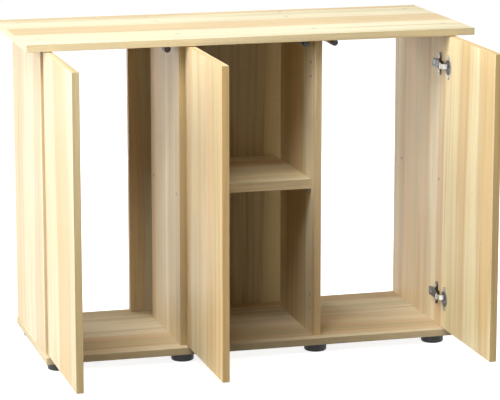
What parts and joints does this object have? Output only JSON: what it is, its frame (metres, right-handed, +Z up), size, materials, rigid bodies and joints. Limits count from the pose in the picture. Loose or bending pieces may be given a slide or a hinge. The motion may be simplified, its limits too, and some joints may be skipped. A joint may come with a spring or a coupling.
{
  "type": "aquarium stand cabinet",
  "caption": "Low free-standing aquarium stand cabinet in light oak decor, with overhanging top, hinged doors, inner shelf, dividers and round black feet.",
  "frame": {"origin": "on the floor, under the middle of the top panel", "axes": "+X to the right seen from the front, +Y to the back, +Z up"},
  "size_m": [1.01, 0.6882, 0.73],
  "materials": {
    "oak_decor_board": "satin light oak woodgrain decor on particle board",
    "black_foot_plastic": "moulded black plastic",
    "beech_dowel": "fluted beech",
    "cream_cap_plastic": "self-adhesive decor cap",
    "grey_latch_plastic": "moulded grey plastic",
    "dark_plunger_plastic": "dark soft-touch plastic",
    "zinc_plated_steel": "zinc plated",
    "nickel_plated_steel": "nickel plated pressed steel"
  },
  "bodies": {
    "cabinet": {"back_foot_1": "black_foot_plastic", "back_foot_2": "black_foot_plastic", "back_foot_3": "black_foot_plastic", "back_foot_4": "black_foot_plastic", "back_panel": "oak_decor_board", "bottom_dowels": "beech_dowel", "bottom_panel": "oak_decor_board", "bottom_screws": "zinc_plated_steel", "foot_screws": "zinc_plated_steel", "front_foot_1": "black_foot_plastic", "front_foot_2": "black_foot_plastic", "front_foot_3": "black_foot_plastic", "front_foot_4": "black_foot_plastic", "hinge_plate_screws": "zinc_plated_steel", "latch_screws": "zinc_plated_steel", "left_divider": "oak_decor_board", "left_latch_body": "grey_latch_plastic", "left_lower_hinge_arm": "nickel_plated_steel", "left_lower_hinge_plate": "nickel_plated_steel", "left_side_panel": "oak_decor_board", "left_upper_hinge_arm": "nickel_plated_steel", "left_upper_hinge_plate": "nickel_plated_steel", "middle_latch_body": "grey_latch_plastic", "middle_lower_hinge_arm": "nickel_plated_steel", "middle_lower_hinge_plate": "nickel_plated_steel", "middle_shelf": "oak_decor_board", "middle_upper_hinge_arm": "nickel_plated_steel", "middle_upper_hinge_plate": "nickel_plated_steel", "right_divider": "oak_decor_board", "right_latch_body": "grey_latch_plastic", "right_lower_hinge_arm": "nickel_plated_steel", "right_lower_hinge_plate": "nickel_plated_steel", "right_side_panel": "oak_decor_board", "right_upper_hinge_arm": "nickel_plated_steel", "right_upper_hinge_plate": "nickel_plated_steel", "screw_caps": "cream_cap_plastic", "shelf_pins": "zinc_plated_steel", "top_dowels": "beech_dowel", "top_panel": "oak_decor_board", "top_screws": "zinc_plated_steel"},
    "left_door_leaf": {"left_cup_screws": "zinc_plated_steel", "left_door": "oak_decor_board", "left_lower_hinge_cup": "nickel_plated_steel", "left_upper_hinge_cup": "nickel_plated_steel"},
    "left_links": {"left_hinge_links": "nickel_plated_steel"},
    "left_plunger": {"left_latch_plunger": "dark_plunger_plastic"},
    "middle_door_leaf": {"middle_cup_screws": "zinc_plated_steel", "middle_door": "oak_decor_board", "middle_lower_hinge_cup": "nickel_plated_steel", "middle_upper_hinge_cup": "nickel_plated_steel"},
    "middle_links": {"middle_hinge_links": "nickel_plated_steel"},
    "middle_plunger": {"middle_latch_plunger": "dark_plunger_plastic"},
    "right_door_leaf": {"right_cup_screws": "zinc_plated_steel", "right_door": "oak_decor_board", "right_lower_hinge_cup": "nickel_plated_steel", "right_upper_hinge_cup": "nickel_plated_steel"},
    "right_links": {"right_hinge_links": "nickel_plated_steel"},
    "right_plunger": {"right_latch_plunger": "dark_plunger_plastic"}
  },
  "joints": [
    {"name": "left_door_swing", "type": "hinge", "parent": "cabinet", "child": "left_door_leaf", "pos_m": [-0.4615, -0.1795, 0.375], "axis": [0, 0, -1], "range_deg": [-90, 20]},
    {"name": "left_link_turn", "type": "hinge", "parent": "cabinet", "child": "left_links", "pos_m": [-0.4389, -0.1649, 0.375], "axis": [0, 0, -1], "range_deg": [-11.5, 50]},
    {"name": "left_latch_travel", "type": "slide", "parent": "cabinet", "child": "left_plunger", "axis": [0, -1, 0], "range_m": [-0.0085, 0.002]},
    {"name": "middle_door_swing", "type": "hinge", "parent": "cabinet", "child": "middle_door_leaf", "pos_m": [-0.14833, -0.1795, 0.375], "axis": [0, 0, -1], "range_deg": [-90, 20]},
    {"name": "middle_link_turn", "type": "hinge", "parent": "cabinet", "child": "middle_links", "pos_m": [-0.12573, -0.1649, 0.375], "axis": [0, 0, -1], "range_deg": [-11.5, 50]},
    {"name": "middle_latch_travel", "type": "slide", "parent": "cabinet", "child": "middle_plunger", "axis": [0, -1, 0], "range_m": [-0.0085, 0.002]},
    {"name": "right_door_swing", "type": "hinge", "parent": "cabinet", "child": "right_door_leaf", "pos_m": [0.4615, -0.1795, 0.375], "axis": [0, 0, 1], "range_deg": [-90, 20]},
    {"name": "right_link_turn", "type": "hinge", "parent": "cabinet", "child": "right_links", "pos_m": [0.4389, -0.1649, 0.375], "axis": [0, 0, 1], "range_deg": [-11.5, 50]},
    {"name": "right_latch_travel", "type": "slide", "parent": "cabinet", "child": "right_plunger", "axis": [0, -1, 0], "range_m": [-0.0085, 0.002]}
  ],
  "couplings": [
    {"joint": "left_link_turn", "follows": "left_door_swing", "ratio": -0.55},
    {"joint": "left_latch_travel", "follows": "left_door_swing", "m_per_rad": 0.005093},
    {"joint": "middle_link_turn", "follows": "middle_door_swing", "ratio": -0.55},
    {"joint": "middle_latch_travel", "follows": "middle_door_swing", "m_per_rad": 0.005093},
    {"joint": "right_link_turn", "follows": "right_door_swing", "ratio": -0.55},
    {"joint": "right_latch_travel", "follows": "right_door_swing", "m_per_rad": 0.005093}
  ]
}
